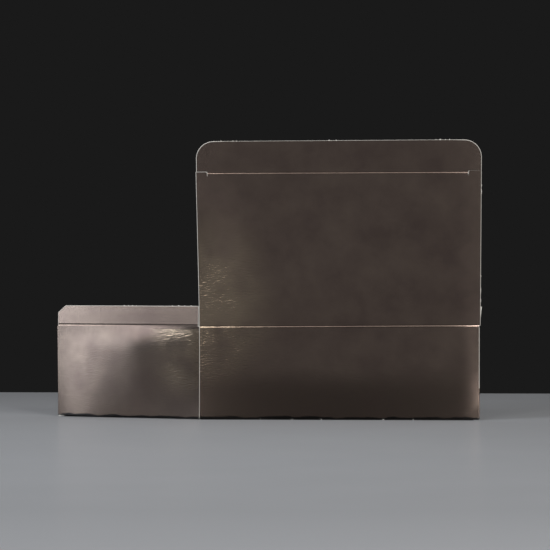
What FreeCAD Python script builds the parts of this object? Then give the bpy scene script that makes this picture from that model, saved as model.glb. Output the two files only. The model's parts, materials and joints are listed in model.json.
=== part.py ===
import FreeCAD, Part
import os
import Sketcher
from FreeCAD import Placement, Rotation, Vector

# A fast-food chicken box: one die-cut and creased sheet of folding boxboard, glued along one
# corner and across its crash-lock bottom, with a slit-locked tuck lid and two dust flaps.
# It stands half opened from flat, so its tube of four walls is a narrow parallelogram, the
# bottom flaps are still folded up inside it, and the lid stands open above the back wall.
#
# Millimetres and degrees. X runs along the back wall, Y from the back wall to the front
# wall, Z up. Every panel is drawn in its own frame: its x along the crease that it folds
# on, its y up the panel and its z through the board.

doc = FreeCAD.newDocument("chicken_box")

# ---------------------------------------------------------------- driving dimensions
SIZES = (
    ("panel_length", 209.5, "long walls, crease to crease"),
    ("panel_depth", 117.0, "side walls, crease to crease"),
    ("panel_height", 70.0, "floor to the lid crease"),
    ("board", 0.5, "thickness of the folding boxboard"),
    ("open_angle", 18.5, "between a long wall and a side wall at a pinched corner"),
    ("foot_flat", 0.6, "width of the flat that a bottom fold stands on"),
    ("side_lift", 0.8, "creases of the side walls above those of the long walls"),
    ("front_drop", 0.5, "cut top edge of the front wall below the lid crease"),
    ("cut_round", 1.5, "corner of a die-cut edge"),
    ("crease_gap", 0.4, "between two panels that hinge on a crease"),
    ("crease_land", 0.06, "flat left between the two rounded edges of board at such a crease"),
    ("lid_lean", 12.0, "lid out from upright"),
    ("lid_length", 116.5, "lid, crease to crease"),
    ("lid_overhang", 0.7, "lid past the pinched corner of the back wall"),
    ("tuck_length", 23.5, "tuck flap, crease to edge"),
    ("tuck_round", 13.0, "corner of the tuck flap"),
    ("slit_length", 8.5, "slit lock, in from the lid's side edge"),
    ("slit_rise", 0.8, "slit above the tuck crease"),
    ("slit_hook", 3.0, "short cut down from the slit's inner end"),
    ("slit_kerf", 0.3, "width of a slit"),
    ("dust_height", 14.0, "dust flap, crease to edge"),
    ("dust_shoulder", 8.7, "upright end of a dust flap below its chamfer"),
    ("dust_slope", 6.0, "run of that chamfer along the flap"),
    ("dust_inset", 0.3, "that end back from the front wall's crease"),
    ("dust_relief", 0.6, "dust flap's square end back from the lid"),
    ("glue_width", 15.0, "glue flap, crease to edge"),
    ("glue_bevel", 6.0, "fall of its bevelled ends"),
    ("glue_relief", 4.0, "glue flap's ends back from the bottom creases"),
    ("low_slack", 2.5, "low half of a major bottom flap short of the centre line"),
    ("hook_catch", 7.5, "hook half of a major bottom flap past the centre line"),
    ("hook_run", 4.0, "run of the sloped step between the two halves"),
    ("hook_round", 12.0, "outer corner of the hook half"),
    ("step_round", 3.0, "corners of the step"),
    ("minor_reach", 50.0, "minor bottom flap, crease to edge"),
    ("minor_start", 6.0, "minor flap's start from the glued corner"),
    ("minor_slope", 40.0, "edge of a minor flap by the diagonal crease, under 45"),
    ("minor_round", 5.0, "corners of a minor flap"),
    ("flap_taper", 4.0, "free side edge of every bottom flap"),
    ("flap_relief", 1.5, "bottom flap's free end back from the corner crease"),
    ("tab_width", 20.0, "glue tab beyond the diagonal crease"),
    ("tab_relief", 4.0, "ends of the glue tab back from the ends of that crease"),
)

sheet = doc.addObject("Spreadsheet::Sheet", "sizes")
for row, (alias, value, note) in enumerate(SIZES, start=1):
    sheet.set(f"A{row}", note)
    sheet.set(f"B{row}", str(value))
    sheet.setAlias(f"B{row}", alias)
doc.recompute()

# Sizes that follow from the driving ones, as expressions over the sheet.
FOOT = "sqrt(sizes.board ^ 2 - (sizes.foot_flat / 2) ^ 2)"  # inner line of a bottom fold
SIDE_FOOT = f"({FOOT} + sizes.side_lift)"
SEAM_TAKE = "(sizes.board / sin(sizes.open_angle))"  # what the glued seam takes off two panels
FRONT_LENGTH = f"(sizes.panel_length - {SEAM_TAKE})"
LEFT_DEPTH = f"(sizes.panel_depth - {SEAM_TAKE})"
WALL_TOP = "(sizes.panel_height - sizes.crease_gap / 2)"
SIDE_TOP = f"({WALL_TOP} + sizes.side_lift)"
FRONT_TOP = "(sizes.panel_height - sizes.front_drop)"
CREASE_ROUND = "((sizes.board - sizes.crease_land) / 2)"
LID_WIDTH = "(sizes.panel_length + sizes.board + sizes.lid_overhang)"

# The crash-lock bottom folds with the tube. A diagonal crease leaves the glued corner at 45
# degrees in both flaps that meet there, which sets how far each leans in from its wall.
TILT = "asin(tan(sizes.open_angle / 2))"
DIHEDRAL = f"acos(cos(sizes.open_angle) * cos({TILT}) ^ 2 - sin({TILT}) ^ 2)"
# The tab lies on the minor flap, so three boards lie inside that dihedral angle and the
# crease stands off the corner's own diagonal, measured square to it in each flap. The minor
# flap's crease is lifted, so its frame reads every height a little lower.
LIFT_TAKE = f"sizes.side_lift * sin({TILT})"
FOLD_MAJOR = f"((2 * sizes.board - {LIFT_TAKE} + sizes.board * cos({DIHEDRAL})) / sin({DIHEDRAL}))"
FOLD_MINOR = f"({FOLD_MAJOR} * cos({DIHEDRAL}) + sizes.board * sin({DIHEDRAL}))"
MAJOR_START = f"(sqrt(2) * {FOLD_MAJOR})"
TAB_START = f"(sqrt(2) * {FOLD_MINOR} + sizes.side_lift * cos({TILT}))"
TAB_DROP = f"(sizes.side_lift * cos({TILT}) - ({FOLD_MAJOR} - {FOLD_MINOR}) / sqrt(2))"
LOW_REACH = "(sizes.panel_depth / 2 - sizes.low_slack)"
HOOK_REACH = "(sizes.panel_depth / 2 + sizes.hook_catch)"


def value_of(expression):
    """An expression over the sheet, worked out as a plain number."""
    result = sheet.evalExpression(expression)
    return float(getattr(result, "Value", result))


# ---------------------------------------------------------------- panels and creases
def origin_plane(body, role):
    return next(f for f in body.Origin.OriginFeatures if f.Role == role)


def draw_outline(sketch, outline):
    """A closed outline whose corners are bound, one by one, to expressions."""
    corners = [Vector(value_of(x), value_of(y), 0) for x, y in outline]
    count = len(corners)
    for i in range(count):
        sketch.addGeometry(Part.LineSegment(corners[i], corners[(i + 1) % count]), False)
    for i in range(count):
        sketch.addConstraint(Sketcher.Constraint("Coincident", i, 2, (i + 1) % count, 1))
    for i, (x, y) in enumerate(outline):
        across = sketch.addConstraint(Sketcher.Constraint("DistanceX", -1, 1, i, 1, corners[i].x))
        sketch.setExpression(f"Constraints[{across}]", x)
        up = sketch.addConstraint(Sketcher.Constraint("DistanceY", -1, 1, i, 1, corners[i].y))
        sketch.setExpression(f"Constraints[{up}]", y)


def panel(name, outline, side="One side", offset="0"):
    """A flat piece of board: an outline in the panel's own frame, padded through the board."""
    body = doc.addObject("PartDesign::Body", name)
    body.Label = name
    sketch = body.newObject("Sketcher::SketchObject", name + "_outline")
    sketch.AttachmentSupport = [(origin_plane(body, "XY_Plane"), "")]
    sketch.MapMode = "FlatFace"
    sketch.setExpression("AttachmentOffset.Base.z", offset)
    draw_outline(sketch, outline)
    pad = body.newObject("PartDesign::Pad", name + "_board")
    pad.Profile = sketch
    pad.setExpression("Length", "sizes.board")
    pad.SideType = side
    doc.recompute()
    return body


def slit(body, name, outline):
    """A die cut right through a panel that is padded to both sides of its outline."""
    sketch = body.newObject("Sketcher::SketchObject", name + "_outline")
    sketch.AttachmentSupport = [(origin_plane(body, "XY_Plane"), "")]
    sketch.MapMode = "FlatFace"
    draw_outline(sketch, outline)
    before = body.Tip.Shape.Volume
    pocket = body.newObject("PartDesign::Pocket", name)
    pocket.Profile = sketch
    pocket.setExpression("Length", "2 * sizes.board")
    pocket.SideType = "Symmetric"
    doc.recompute()
    if not pocket.Shape.Volume < before:
        raise RuntimeError(name + " cuts nothing")


def round_edges(body, name, radius, chosen):
    """Fillet the edges of the body's last feature that the test chooses."""
    base = body.Tip
    edges = [f"Edge{i}" for i, e in enumerate(base.Shape.Edges, start=1) if chosen(e)]
    if not edges:
        raise RuntimeError(name + " rounds nothing")
    fillet = body.newObject("PartDesign::Fillet", name)
    fillet.Base = (base, edges)
    fillet.setExpression("Radius", radius)
    doc.recompute()


def through_board(*corners):
    """A test for the short edges that run through the board at the outline's corners."""
    places = [(value_of(x), value_of(y)) for x, y in corners]

    def chosen(edge):
        low, high = edge.BoundBox.ZMin, edge.BoundBox.ZMax
        middle = edge.CenterOfMass
        if high - low < value_of("sizes.board") * 0.9:
            return False
        return any(abs(middle.x - x) < 0.01 and abs(middle.y - y) < 0.01 for x, y in places)

    return chosen


def along_crease(height):
    """A test for the two long edges at a crease, at this height in the panel's frame."""
    level = value_of(height)

    def chosen(edge):
        box = edge.BoundBox
        return box.YLength < 0.01 and box.ZLength < 0.01 and abs(box.YMin - level) < 0.01

    return chosen


def frame(corner, heading, tilt=0.0):
    """A panel's frame at a corner: turned to the crease's heading and leant back by tilt."""
    turn = Rotation(Vector(0, 0, 1), heading)
    raise_up = Rotation(Vector(1, 0, 0), 90 + tilt)
    return Placement(corner, turn * raise_up)


def fold(name, radius, length, place, start, direction):
    """A folded crease, as the round bar that its two boards turn about."""
    bar = doc.addObject("Part::Cylinder", name)
    bar.setExpression("Radius", radius)
    bar.setExpression("Height", length)
    bar.Placement = place * Placement(start, Rotation(Vector(0, 0, 1), direction))
    return bar




# ---------------------------------------------------------------- where the panels stand
# Corners of the tube on the inside faces. The back wall laps over the glue flap, so the
# left and front walls are narrower by what the seam takes.
open_angle = value_of("sizes.open_angle")
length = value_of("sizes.panel_length")
depth = value_of("sizes.panel_depth")
height = value_of("sizes.panel_height")
board = value_of("sizes.board")
tilt = value_of(TILT)
toward_front = Rotation(Vector(0, 0, 1), 180 - open_angle).multVec(Vector(depth, 0, 0))

back_left = Vector(-length / 2, 0, 0)
back_right = Vector(length / 2, 0, 0)
front_right = back_right + toward_front
front_left = back_left + toward_front + Vector(value_of(SEAM_TAKE), 0, 0)
glue_corner = back_left + Vector(value_of("sizes.board * tan(sizes.open_angle / 2)"), board, 0)

back_frame = frame(back_left, 0)
right_frame = frame(back_right, 180 - open_angle)
front_frame = frame(front_right, 180)
left_frame = frame(front_left, -open_angle)

foot = Vector(0, 0, value_of(FOOT))
side_foot = Vector(0, 0, value_of(SIDE_FOOT))


def wall(name, width, bottom, top, place):
    corners = [("0", bottom), (width, bottom), (width, top), ("0", top)]
    body = panel(name, corners)
    body.Placement = place
    return body


def upright_fold(name, corner, bottom, top):
    start = corner + Vector(0, 0, value_of(bottom))
    return fold(name, "sizes.board", f"{top} - {bottom}", Placement(), start, Vector(0, 0, 1))


def make_tube():
    """Four walls, their creases and the glue flap inside the back wall."""
    back = wall("back_wall", "sizes.panel_length", FOOT, WALL_TOP, back_frame)
    round_edges(back, "back_wall_crease", CREASE_ROUND, along_crease(WALL_TOP))
    round_edges(back, "back_wall_corner", "sizes.cut_round", through_board(("0", FOOT)))
    right = wall("right_wall", "sizes.panel_depth", SIDE_FOOT, SIDE_TOP, right_frame)
    round_edges(right, "right_wall_crease", CREASE_ROUND, along_crease(SIDE_TOP))
    front = wall("front_wall", FRONT_LENGTH, FOOT, FRONT_TOP, front_frame)
    left = wall("left_wall", LEFT_DEPTH, SIDE_FOOT, SIDE_TOP, left_frame)
    round_edges(left, "left_wall_crease", CREASE_ROUND, along_crease(SIDE_TOP))

    corner_top = f"({WALL_TOP} - {CREASE_ROUND})"
    glue_low = "sizes.glue_relief"
    glue_high = "sizes.panel_height - sizes.glue_relief"
    glue = panel("glue_flap", [
        ("0", glue_low),
        ("sizes.glue_width", f"{glue_low} + sizes.glue_bevel"),
        ("sizes.glue_width", f"{glue_high} - sizes.glue_bevel"),
        ("0", glue_high),
    ])
    glue.Placement = frame(glue_corner, 0)
    return [
        back,
        right,
        front,
        left,
        glue,
        upright_fold("back_right_fold", back_right, SIDE_FOOT, corner_top),
        upright_fold("front_right_fold", front_right, SIDE_FOOT, FRONT_TOP),
        upright_fold("front_left_fold", front_left, SIDE_FOOT, FRONT_TOP),
        upright_fold("glue_fold", glue_corner, glue_low, f"({glue_high})"),
    ]


def make_major_flap(side, width, corner, heading):
    """A long bottom flap, from its glued corner: the low half, the step, the hook half."""
    place = frame(corner + foot, heading, tilt)
    free_end = f"({width} - sizes.flap_relief)"
    low_corner = (f"{MAJOR_START} + {LOW_REACH}", LOW_REACH)
    step_foot = (f"{width} / 2 - sizes.hook_run / 2", LOW_REACH)
    step_head = (f"{width} / 2 + sizes.hook_run / 2", HOOK_REACH)
    hook_corner = (f"{free_end} - {HOOK_REACH} * tan(sizes.flap_taper)", HOOK_REACH)
    flap = panel(f"{side}_major_flap", [
        (MAJOR_START, "0"),
        low_corner,
        step_foot,
        step_head,
        hook_corner,
        (free_end, "0"),
    ])
    round_edges(flap, f"{side}_hook_corner", "sizes.hook_round", through_board(hook_corner))
    round_edges(flap, f"{side}_step", "sizes.step_round", through_board(step_foot, step_head))
    flap.Placement = place

    start = Vector(value_of(MAJOR_START), 0, 0)
    crease = fold(f"{side}_bottom_fold", "sizes.board", f"{free_end} - {MAJOR_START}",
                  place, start, Vector(1, 0, 0))
    relief = value_of("sizes.tab_relief")
    diagonal = fold(f"{side}_diagonal_fold", "sizes.board",
                    f"sqrt(2) * ({LOW_REACH} - 2 * sizes.tab_relief)",
                    place, start + Vector(relief, relief, board), Vector(1, 1, 0))
    return [flap, crease, diagonal]


def make_minor_flap(side, width, corner, heading):
    """A short bottom flap, drawn back from its glued corner, with the tab glued on it."""
    place = frame(corner + side_foot, heading, tilt)
    free_end = f"({width} - sizes.flap_relief)"
    sloped_corner = (
        "-(sizes.minor_start + sizes.minor_reach / tan(sizes.minor_slope))",
        "sizes.minor_reach",
    )
    free_corner = (
        f"-({free_end} - sizes.minor_reach * tan(sizes.flap_taper))",
        "sizes.minor_reach",
    )
    flap = panel(f"{side}_minor_flap", [
        ("-sizes.minor_start", "0"),
        sloped_corner,
        free_corner,
        (f"-{free_end}", "0"),
    ])
    rounded = through_board(sloped_corner, free_corner)
    round_edges(flap, f"{side}_minor_corners", "sizes.minor_round", rounded)
    flap.Placement = place

    far_side = f"({TAB_START} + sqrt(2) * sizes.tab_width)"
    tab_foot = f"(sizes.tab_relief - {TAB_DROP})"
    tab_head = f"({LOW_REACH} - sizes.tab_relief - {TAB_DROP})"
    tab_far_head = f"({LOW_REACH} - sizes.tab_width)"
    tab = panel(f"{side}_glue_tab", [
        (f"-({TAB_START} + {tab_foot})", tab_foot),
        (f"-({far_side} + {tab_foot})", tab_foot),
        (f"-({far_side} + {tab_far_head})", tab_far_head),
        (f"-({TAB_START} + {tab_head})", tab_head),
    ], offset="sizes.board")
    tab.Placement = place

    start = Vector(-value_of(free_end), 0, 0)
    crease = fold(f"{side}_bottom_fold", "sizes.board", f"{free_end} - sizes.minor_start",
                  place, start, Vector(1, 0, 0))
    return [flap, tab, crease]


def make_carton_body():
    """Tube and crash-lock bottom as the one glued piece that they are, on its flat feet."""
    pieces = make_tube()
    pieces += make_major_flap("back", "sizes.panel_length", back_right, 180)
    pieces += make_major_flap("front", FRONT_LENGTH, front_left, 0)
    pieces += make_minor_flap("left", LEFT_DEPTH, front_left, 180 - open_angle)
    pieces += make_minor_flap("right", "sizes.panel_depth", back_right, -open_angle)
    folded = doc.addObject("Part::MultiFuse", "folded_board")
    folded.Shapes = pieces

    below_floor = doc.addObject("Part::Box", "below_floor")
    below_floor.setExpression("Length", "2 * (sizes.panel_length + sizes.panel_depth)")
    below_floor.setExpression("Width", "2 * sizes.panel_depth")
    below_floor.setExpression("Height", "sizes.board")
    below_floor.Placement.Base = Vector(-length - depth, -depth, -board)

    body = doc.addObject("Part::Cut", "carton_body")
    body.Label = "carton_body"
    body.Base = folded
    body.Tool = below_floor
    doc.recompute()
    return body


# ---------------------------------------------------------------- the hinged panels
def make_lid():
    """The lid, with a slit lock at each end of its tuck crease."""
    low = "(sizes.crease_gap / 2)"
    high = "(sizes.lid_length - sizes.crease_gap / 2)"
    shoulder = "(sizes.lid_length + sizes.slit_rise - sizes.slit_kerf / 2)"
    left_slit = "sizes.slit_length"
    right_slit = f"({LID_WIDTH} - sizes.slit_length)"
    lid = panel("lid", [
        ("0", low),
        (LID_WIDTH, low),
        (LID_WIDTH, shoulder),
        (right_slit, shoulder),
        (right_slit, high),
        (left_slit, high),
        (left_slit, shoulder),
        ("0", shoulder),
    ], side="Symmetric")
    round_edges(lid, "lid_crease", CREASE_ROUND, along_crease(low))
    round_edges(lid, "lid_tuck_crease", CREASE_ROUND, along_crease(high))
    for side, inner_end in (("left", left_slit), ("right", right_slit)):
        slit(lid, f"{side}_slit_hook", [
            (f"{inner_end} - sizes.slit_kerf / 2", "sizes.lid_length - sizes.slit_hook"),
            (f"{inner_end} + sizes.slit_kerf / 2", "sizes.lid_length - sizes.slit_hook"),
            (f"{inner_end} + sizes.slit_kerf / 2", f"{shoulder} + sizes.board"),
            (f"{inner_end} - sizes.slit_kerf / 2", f"{shoulder} + sizes.board"),
        ])
    hinge = Vector(back_left.x, -board / 2, height)
    lid.Placement = frame(hinge, 0, value_of("sizes.lid_lean"))
    return lid


def make_tuck_flap(lid):
    """The tuck flap, which carries on from the lid and starts above the slits at its ends."""
    low = "(sizes.crease_gap / 2)"
    end = "(sizes.slit_rise + sizes.slit_kerf / 2)"
    right_slit = f"({LID_WIDTH} - sizes.slit_length)"
    flap = panel("tuck_flap", [
        ("sizes.slit_length", low),
        (right_slit, low),
        (right_slit, end),
        (LID_WIDTH, end),
        (LID_WIDTH, "sizes.tuck_length"),
        ("0", "sizes.tuck_length"),
        ("0", end),
        ("sizes.slit_length", end),
    ], side="Symmetric")
    round_edges(flap, "tuck_crease", CREASE_ROUND, along_crease(low))
    top_corners = through_board(("0", "sizes.tuck_length"), (LID_WIDTH, "sizes.tuck_length"))
    round_edges(flap, "tuck_corners", "sizes.tuck_round", top_corners)
    hinge = Vector(0, value_of("sizes.lid_length"), 0)
    flap.Placement = lid.Placement * Placement(hinge, Rotation())
    return flap


def make_dust_flap(side, front_end, lid_end, wall_place):
    """A dust flap, chamfered at its front end and cut square beside the lid."""
    low = "(sizes.crease_gap / 2)"
    inward = 1 if value_of(lid_end) > value_of(front_end) else -1
    flap = panel(f"dust_flap_{side}", [
        (front_end, low),
        (lid_end, low),
        (lid_end, "sizes.dust_height"),
        (f"{front_end} + {inward} * sizes.dust_slope", "sizes.dust_height"),
        (front_end, "sizes.dust_shoulder"),
    ], side="Symmetric")
    round_edges(flap, f"dust_crease_{side}", CREASE_ROUND, along_crease(low))
    crease = Vector(0, value_of("sizes.panel_height + sizes.side_lift"), board / 2)
    flap.Placement = wall_place * Placement(crease, Rotation())
    return flap


carton_body = make_carton_body()
lid = make_lid()
tuck_flap = make_tuck_flap(lid)
dust_flap_left = make_dust_flap(
    "left", "sizes.dust_inset", f"({LEFT_DEPTH} - sizes.dust_relief)", left_frame)
dust_flap_right = make_dust_flap(
    "right", "(sizes.panel_depth - sizes.dust_inset)", "sizes.dust_relief", right_frame)
parts = [carton_body, lid, tuck_flap, dust_flap_left, dust_flap_right]
doc.recompute()

# ---------------------------------------------------------------- origin at the base's middle
whole = FreeCAD.BoundBox()
for part in parts:
    whole.add(part.Shape.optimalBoundingBox(False))
centring = Placement(Vector(-whole.Center.x, -whole.Center.y, -whole.ZMin), Rotation())
for part in parts:
    part.Placement = centring * part.Placement
doc.recompute()

# ---------------------------------------------------------------- checks and files
for item in doc.Objects:
    if "Invalid" in item.State or "Error" in item.State:
        raise RuntimeError(f"{item.Name} failed: {item.State}")
for part in parts:
    if part.Shape.isNull() or not part.Shape.isValid() or len(part.Shape.Solids) != 1:
        raise RuntimeError(f"{part.Label} is not one valid solid")

os.makedirs("parts", exist_ok=True)
for part in parts:
    part.Shape.exportStep(f"parts/{part.Label}.step")
    print(f"{part.Label}: {part.Shape.Volume:.1f} cubic mm")

# The crease lines that the hinged panels turn about, for the joints.
for part in (lid, tuck_flap, dust_flap_left, dust_flap_right):
    middle = part.Shape.BoundBox.Center
    along = part.Placement.Rotation.multVec(Vector(1, 0, 0))
    start = part.Placement.Base
    anchor = start + along * (middle - start).dot(along)
    print(f"{part.Label} turns about {tuple(round(v, 3) for v in anchor)}"
          f" along {tuple(round(v, 5) for v in along)}")
print("whole:", [round(v, 2) for v in (whole.XLength, whole.YLength, whole.ZLength)])
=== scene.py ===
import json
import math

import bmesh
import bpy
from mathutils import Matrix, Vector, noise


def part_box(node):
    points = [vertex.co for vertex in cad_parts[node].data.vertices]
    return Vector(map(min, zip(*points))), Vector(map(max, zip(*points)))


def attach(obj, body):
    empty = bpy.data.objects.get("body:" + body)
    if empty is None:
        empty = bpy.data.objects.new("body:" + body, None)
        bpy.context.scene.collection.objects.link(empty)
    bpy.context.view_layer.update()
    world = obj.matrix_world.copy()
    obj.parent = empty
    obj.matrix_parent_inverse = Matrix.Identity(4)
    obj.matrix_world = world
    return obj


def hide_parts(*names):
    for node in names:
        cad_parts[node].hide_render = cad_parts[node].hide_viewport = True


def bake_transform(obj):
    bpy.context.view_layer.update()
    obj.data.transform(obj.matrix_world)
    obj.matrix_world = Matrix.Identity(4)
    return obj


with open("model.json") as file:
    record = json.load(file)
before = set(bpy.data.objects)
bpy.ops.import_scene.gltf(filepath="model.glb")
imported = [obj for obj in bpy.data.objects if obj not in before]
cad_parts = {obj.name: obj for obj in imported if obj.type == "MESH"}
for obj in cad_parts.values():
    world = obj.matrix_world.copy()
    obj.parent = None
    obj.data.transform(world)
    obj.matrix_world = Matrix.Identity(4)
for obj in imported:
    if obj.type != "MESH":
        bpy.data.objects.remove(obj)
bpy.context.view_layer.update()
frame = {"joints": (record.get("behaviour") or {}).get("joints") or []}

# %% [markdown]
# # A chicken box, half opened from flat
# The box is one sheet of metallised folding boxboard: a dark, warm film outside, bare pale
# board inside, and the pale core of the board showing along every die-cut edge. It could be
# modelled as one folded sheet, but every flap has to turn on its own crease, so the walls and
# flaps are cut as separate panels, and narrow strips that bend join them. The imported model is
# already loaded as a fixed frame, and each piece is modelled where that frame says. The sizes
# of the blank are kept here in millimetres, because board is cut in millimetres.

MM = 0.001
BOARD = 0.5  # thickness
LENGTH = 209.5  # long walls, crease to crease
DEPTH = 117.0  # side walls
OPEN_ANGLE = 18.5  # the tube is a narrow parallelogram
FOOT = 0.4  # inner line of a bottom fold above the floor
SIDE_LIFT = 0.8  # side wall creases above those of the long walls
LID_LENGTH = 116.5
TUCK_LENGTH = 23.5
STRIP = 1.5  # half the width of the strip that bends at a crease

joints = {joint["name"]: joint for joint in frame["joints"]}
lid_low, lid_high = (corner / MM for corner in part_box("lid"))
hinge = Vector(joints["lid_hinge"]["pos_m"]) / MM
tuck_hinge = Vector(joints["tuck_hinge"]["pos_m"]) / MM
HEIGHT = hinge.z  # floor to the lid crease
LID_WIDTH = lid_high.x - lid_low.x
LEAN = math.degrees(math.atan2(hinge.y - tuck_hinge.y, tuck_hinge.z - hinge.z))
print(f"lid {LID_WIDTH:.1f} mm wide, leaning {LEAN:.1f} degrees, crease at {HEIGHT:.1f} mm")

# %% [markdown]
# The tube's corners are where the creases stand. The back wall laps over the glue flap in the
# left corner, so the left and front walls are a little shorter than the other two. A panel
# could be drawn straight in the room, but it is easier to draw it flat, as on the die. So every
# panel gets its own frame: x along its crease, y up the panel, z out through the board.

# %% Corners and panel frames
seam_take = BOARD / math.sin(math.radians(OPEN_ANGLE))
FRONT_LENGTH = LENGTH - seam_take
LEFT_DEPTH = DEPTH - seam_take
toward_front = Matrix.Rotation(math.radians(180 - OPEN_ANGLE), 3, "Z") @ Vector((DEPTH, 0, 0))
back_left = Vector((lid_low.x, hinge.y + BOARD / 2, 0))
back_right = back_left + Vector((LENGTH, 0, 0))
front_right = back_right + toward_front
front_left = back_left + toward_front + Vector((seam_take, 0, 0))
glue_corner = back_left + Vector((BOARD * math.tan(math.radians(OPEN_ANGLE / 2)), BOARD, 0))
up = Vector((0, 0, 1))


def panel_frame(corner, heading, lean=0.0):
    """A panel's frame at a corner, turned to its crease and leant to its outer side."""
    turn = Matrix.Rotation(math.radians(heading), 4, "Z")
    raise_up = Matrix.Rotation(math.radians(90 + lean), 4, "X")
    return Matrix.Translation(corner) @ turn @ raise_up


back_frame = panel_frame(back_left, 0)
right_frame = panel_frame(back_right, 180 - OPEN_ANGLE)
front_frame = panel_frame(front_right, 180)
left_frame = panel_frame(front_left, -OPEN_ANGLE)
lid_frame = panel_frame(Vector((back_left.x, hinge.y, hinge.z)), 0, LEAN)
lid_frame = lid_frame @ Matrix.Translation((0, 0, -BOARD / 2))
print("corners:", [tuple(round(v, 1) for v in c.xy) for c in
                   (back_left, back_right, front_right, front_left)])

# %% [markdown]
# Every finish is a tree of shader nodes. A tree can be wired by hand in the editor. In a script
# it reads best if one helper makes a node and fills it in, because each line then shows what
# feeds what: another node's output is joined on, and any other value is written in.

# %% Node helpers
FLOAT, VECTOR, COLOR = "NodeSocketFloat", "NodeSocketVector", "NodeSocketColor"


def fill(node, *terms, **named):
    """Fill a node's first inputs in order, then its settings and inputs by name."""
    settings = [key for key in named if hasattr(node, key)]
    for key in settings:
        setattr(node, key, named.pop(key))
    wanted = list(zip(node.inputs, terms))
    wanted += [(node.inputs[key.replace("_", " ")], value) for key, value in named.items()]
    for socket, value in wanted:
        if isinstance(value, bpy.types.NodeSocket):
            node.id_data.links.new(value, socket)
        else:
            socket.default_value = value
    return node


def add(tree, kind, *terms, **named):
    return fill(tree.nodes.new(kind), *terms, **named)


def calc(tree, operation, *terms):
    """The result of a Math node."""
    return add(tree, "ShaderNodeMath", *terms, operation=operation).outputs[0]


def cloud(tree, place, **settings):
    """The value of a noise texture."""
    return add(tree, "ShaderNodeTexNoise", Vector=place, **settings).outputs["Fac"]


def remap(tree, value, **settings):
    """A value spread from one range over another."""
    return add(tree, "ShaderNodeMapRange", Value=value, **settings).outputs["Result"]


def mix(tree, part, colour_a, colour_b):
    """Two colours mixed, with a part of the second."""
    return add(tree, "ShaderNodeMix", data_type="RGBA", Factor=part, A=colour_a,
               B=colour_b).outputs["Result"]


def node_group(name, inputs, outputs):
    """An empty shader group with named sockets, and its two end nodes."""
    group = bpy.data.node_groups.new(name, "ShaderNodeTree")
    for label, kind, value in inputs:
        socket = group.interface.new_socket(name=label, in_out="INPUT", socket_type=kind)
        if value is not None:
            socket.default_value = value
    for label, kind in outputs:
        group.interface.new_socket(name=label, in_out="OUTPUT", socket_type=kind)
    return group, group.nodes.new("NodeGroupInput"), group.nodes.new("NodeGroupOutput")


print("node helpers: fill, add, calc, cloud, remap, mix, node_group")

# %% [markdown]
# Effects that several finishes share are node groups, built once. The first is the faint
# washboard of the film, which was pressed onto the board while it was wet: shallow ripples
# along the panels, strongest in a patch about the seam. Modelled ripples would need a very fine
# mesh, so a squeezed noise gives their height. The group's inputs place the patch.

# %% Film ripple
RIPPLE_SCALE = (260, 260, 820)  # long along the panels, short up them
DRIFT = (0.0, 0.0, 0.0035)  # how far a ripple wanders up and down, in metres
EVERYWHERE = 0.01  # the share of the ripple that the rest of the film keeps
UPWARD = 0.75  # heights count for less, so the patch is taller than it is wide


def make_ripple_group():
    group, given, out = node_group("Film ripple", [
        ("Vector", VECTOR, None), ("Seam", FLOAT, -0.042), ("Reach", FLOAT, 0.060),
        ("Middle", FLOAT, 0.088), ("Ceiling", FLOAT, 1.0), ("Depth", FLOAT, 1.0),
    ], [("Height", FLOAT), ("Worked", FLOAT)])
    place = given.outputs["Vector"]
    wander = cloud(group, place, Scale=45.0, Detail=1.0)
    drift = add(group, "ShaderNodeVectorMath", wander, DRIFT, place, operation="MULTIPLY_ADD")
    squeeze = add(group, "ShaderNodeMapping", vector_type="POINT", Scale=RIPPLE_SCALE,
                  Vector=drift.outputs["Vector"])
    ripple = cloud(group, squeeze.outputs["Vector"], Scale=1.0, Detail=2.5, Roughness=0.5)
    split = add(group, "ShaderNodeSeparateXYZ", place)
    aside = calc(group, "SUBTRACT", split.outputs["X"], given.outputs["Seam"])
    above = calc(group, "SUBTRACT", split.outputs["Z"], given.outputs["Middle"])
    squat = calc(group, "MULTIPLY", above, UPWARD)
    squares = calc(group, "ADD", calc(group, "POWER", aside, 2.0),
                   calc(group, "POWER", squat, 2.0))
    reach = calc(group, "DIVIDE", calc(group, "SQRT", squares), given.outputs["Reach"])
    round_patch = remap(group, reach, interpolation_type="SMOOTHSTEP", From_Min=1.0, From_Max=0.3)
    patchy = remap(group, cloud(group, place, Scale=38.0, Detail=2.0),
                   interpolation_type="SMOOTHSTEP", From_Min=0.22, From_Max=0.66)
    under = calc(group, "LESS_THAN", split.outputs["Z"], given.outputs["Ceiling"])
    # The patch holds the ripples, and the film also paints a highlight over it.
    kept = calc(group, "MULTIPLY", calc(group, "MULTIPLY", round_patch, patchy), under)
    lifted = calc(group, "MULTIPLY_ADD", kept, given.outputs["Depth"], EVERYWHERE)
    fill(out, Height=calc(group, "MULTIPLY", ripple, lifted), Worked=kept)
    return group


ripple_group = make_ripple_group()
print("group:", ripple_group.name, "with", len(ripple_group.nodes), "nodes")

# %% [markdown]
# The second shared effect is the fibre of bare board: long pale and dark streaks, in clouds.
# Scanned paper would do as well, but a stretched noise needs no picture and never repeats.

# %% Board fibre
FIBRE_SCALE = (300, 300, 1100)
CLOUDS = 0.4  # the share of the clouds in its colour


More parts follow.
